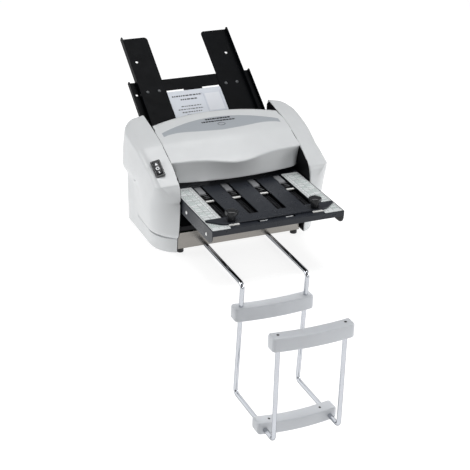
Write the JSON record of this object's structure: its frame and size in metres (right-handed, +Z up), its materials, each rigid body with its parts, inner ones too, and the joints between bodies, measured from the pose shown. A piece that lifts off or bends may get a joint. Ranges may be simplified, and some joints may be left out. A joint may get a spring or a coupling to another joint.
{
  "type": "letter folding machine",
  "caption": "Desktop letter folding machine with a rear paper hopper, a slotted front fold table with an adjustable stop, and a wire catch basket that hangs over the desk edge.",
  "frame": {"origin": "centre of the base pan's underside, midway between the four rubber feet, which reach 8 mm below it", "axes": "+Z up, -Y towards the front where the fold table and basket are, +X to the machine's right as seen from the front"},
  "size_m": [0.342, 0.6603, 0.5411],
  "materials": {
    "pan_steel": "satin",
    "foot_rubber": "matte",
    "frame_black": "satin black",
    "bright_steel": "turned and ground",
    "housing": "fine moulded texture",
    "hood_lens": "satin grey panel",
    "switch_black": "black",
    "hopper_black": "black powder coat",
    "label_white": "laminated card",
    "board_green": "circuit board",
    "motor_steel": "zinc plated",
    "roller_rubber": "ground rubber",
    "pad_rubber": "brown retard rubber",
    "gear_nylon": "natural nylon",
    "table_grey": "satin blue-grey paint",
    "scale_white": "printed film",
    "guide_grey": "grey",
    "tip_white": "white nylon",
    "knob_black": "black",
    "wire_chrome": "bright chrome",
    "crossbar_grey": "fine moulded texture",
    "clip_black": "black"
  },
  "bodies": {
    "machine": {"base_pan": "pan_steel", "rubber_feet": "foot_rubber", "left_side_frame": "frame_black", "right_side_frame": "frame_black", "tie_rods": "bright_steel", "frame_screws": "bright_steel", "bearings": "bright_steel", "left_side_cover": "housing", "right_side_cover": "housing", "rear_cover": "frame_black", "power_inlet": "switch_black", "circuit_board": "board_green", "motor": "motor_steel", "exit_chute": "frame_black", "table_rails": "frame_black", "hopper_tray": "hopper_black", "left_hopper_arm": "hopper_black", "right_hopper_arm": "hopper_black", "hopper_rivets": "bright_steel", "hopper_label": "label_white", "feed_guide": "bright_steel", "separator_pad": "pad_rubber", "separator_bracket": "bright_steel", "switch_bezel": "switch_black", "wire_clips": "clip_black"},
    "switch": {"switch_rocker": "switch_black"},
    "hood": {"hood_cover": "housing", "hood_panel": "hood_lens"},
    "roller_1": {"fold_roller_1": "bright_steel", "roller_gear_1": "gear_nylon"},
    "roller_2": {"fold_shaft_2": "bright_steel", "fold_sleeve_2": "roller_rubber", "roller_gear_2": "gear_nylon"},
    "roller_3": {"fold_roller_3": "bright_steel", "roller_gear_3": "gear_nylon"},
    "roller_4": {"fold_shaft_4": "bright_steel", "fold_sleeve_4": "roller_rubber", "roller_gear_4": "gear_nylon", "drive_gear": "gear_nylon"},
    "feed_roller": {"feed_shaft": "bright_steel", "feed_tyres": "roller_rubber", "feed_gear": "gear_nylon"},
    "pinion": {"motor_pinion": "bright_steel", "motor_shaft": "bright_steel"},
    "fold_table": {"fold_table_top": "table_grey", "fold_table_bottom": "table_grey", "scale_strips": "scale_white", "slot_guides": "guide_grey", "guide_tips": "tip_white"},
    "fold_stop": {"fold_stop_bar": "table_grey"},
    "left_knob": {"left_stop_knob": "knob_black"},
    "right_knob": {"right_stop_knob": "knob_black"},
    "rear_table": {"rear_table_upper": "table_grey", "rear_table_lower": "table_grey"},
    "rear_stop": {"rear_stop_bar": "table_grey"},
    "rear_knob": {"rear_stop_knob": "knob_black"},
    "stacker": {"stacker_wires": "wire_chrome", "back_crossbar": "crossbar_grey", "front_crossbar": "crossbar_grey", "bottom_crossbar": "crossbar_grey"}
  },
  "joints": [
    {"name": "hood_hinge", "type": "hinge", "parent": "machine", "child": "hood", "pos_m": [0, 0.036, 0.18], "axis": [-1, 0, 0], "range_deg": [0, 62]},
    {"name": "switch_rock", "type": "hinge", "parent": "machine", "child": "switch", "pos_m": [-0.15072, -0.06168, 0.15062], "axis": [0.9659, -0.1175, 0.2306], "range_deg": [-9, 9]},
    {"name": "roller_2_spin", "type": "hinge", "parent": "machine", "child": "roller_2", "pos_m": [0, 0, 0.0908], "axis": [1, 0, 0], "continuous": true},
    {"name": "roller_1_spin", "type": "hinge", "parent": "machine", "child": "roller_1", "pos_m": [0, 0, 0.1148], "axis": [1, 0, 0], "continuous": true},
    {"name": "roller_3_spin", "type": "hinge", "parent": "machine", "child": "roller_3", "pos_m": [0, -0.024, 0.0908], "axis": [1, 0, 0], "continuous": true},
    {"name": "roller_4_spin", "type": "hinge", "parent": "machine", "child": "roller_4", "pos_m": [0, -0.024, 0.0668], "axis": [1, 0, 0], "continuous": true},
    {"name": "feed_spin", "type": "hinge", "parent": "machine", "child": "feed_roller", "pos_m": [0, 0.04185, 0.1184], "axis": [1, 0, 0], "continuous": true},
    {"name": "pinion_spin", "type": "hinge", "parent": "machine", "child": "pinion", "pos_m": [0.13, -0.03909, 0.026], "axis": [1, 0, 0], "continuous": true},
    {"name": "fold_table_slide", "type": "slide", "parent": "machine", "child": "fold_table", "axis": [0, -1, 0], "range_m": [0, 0.12]},
    {"name": "fold_stop_slide", "type": "slide", "parent": "fold_table", "child": "fold_stop", "axis": [0, 1, 0], "range_m": [-0.007, 0.078]},
    {"name": "left_knob_turn", "type": "hinge", "parent": "fold_stop", "child": "left_knob", "pos_m": [-0.078, -0.2205, 0.112], "axis": [0, 0, 1], "continuous": true},
    {"name": "right_knob_turn", "type": "hinge", "parent": "fold_stop", "child": "right_knob", "pos_m": [0.078, -0.2205, 0.112], "axis": [0, 0, 1], "continuous": true},
    {"name": "rear_table_slide", "type": "slide", "parent": "machine", "child": "rear_table", "axis": [0, 0.9659, -0.2588], "range_m": [0, 0.06]},
    {"name": "rear_stop_slide", "type": "slide", "parent": "rear_table", "child": "rear_stop", "axis": [0, 0.9659, -0.2588], "range_m": [-0.02, 0.034]},
    {"name": "rear_knob_turn", "type": "hinge", "parent": "rear_stop", "child": "rear_knob", "pos_m": [0, 0.11735, 0.04625], "axis": [0, 0.2588, 0.9659], "continuous": true},
    {"name": "stacker_slide", "type": "slide", "parent": "machine", "child": "stacker", "axis": [0, -1, 0], "range_m": [0, 0.07]}
  ],
  "couplings": [
    {"joint": "roller_1_spin", "follows": "roller_2_spin", "ratio": -1},
    {"joint": "roller_3_spin", "follows": "roller_2_spin", "ratio": -1},
    {"joint": "roller_4_spin", "follows": "roller_2_spin", "ratio": 1},
    {"joint": "feed_spin", "follows": "roller_2_spin", "ratio": 0.4},
    {"joint": "pinion_spin", "follows": "roller_2_spin", "ratio": -4.8}
  ]
}
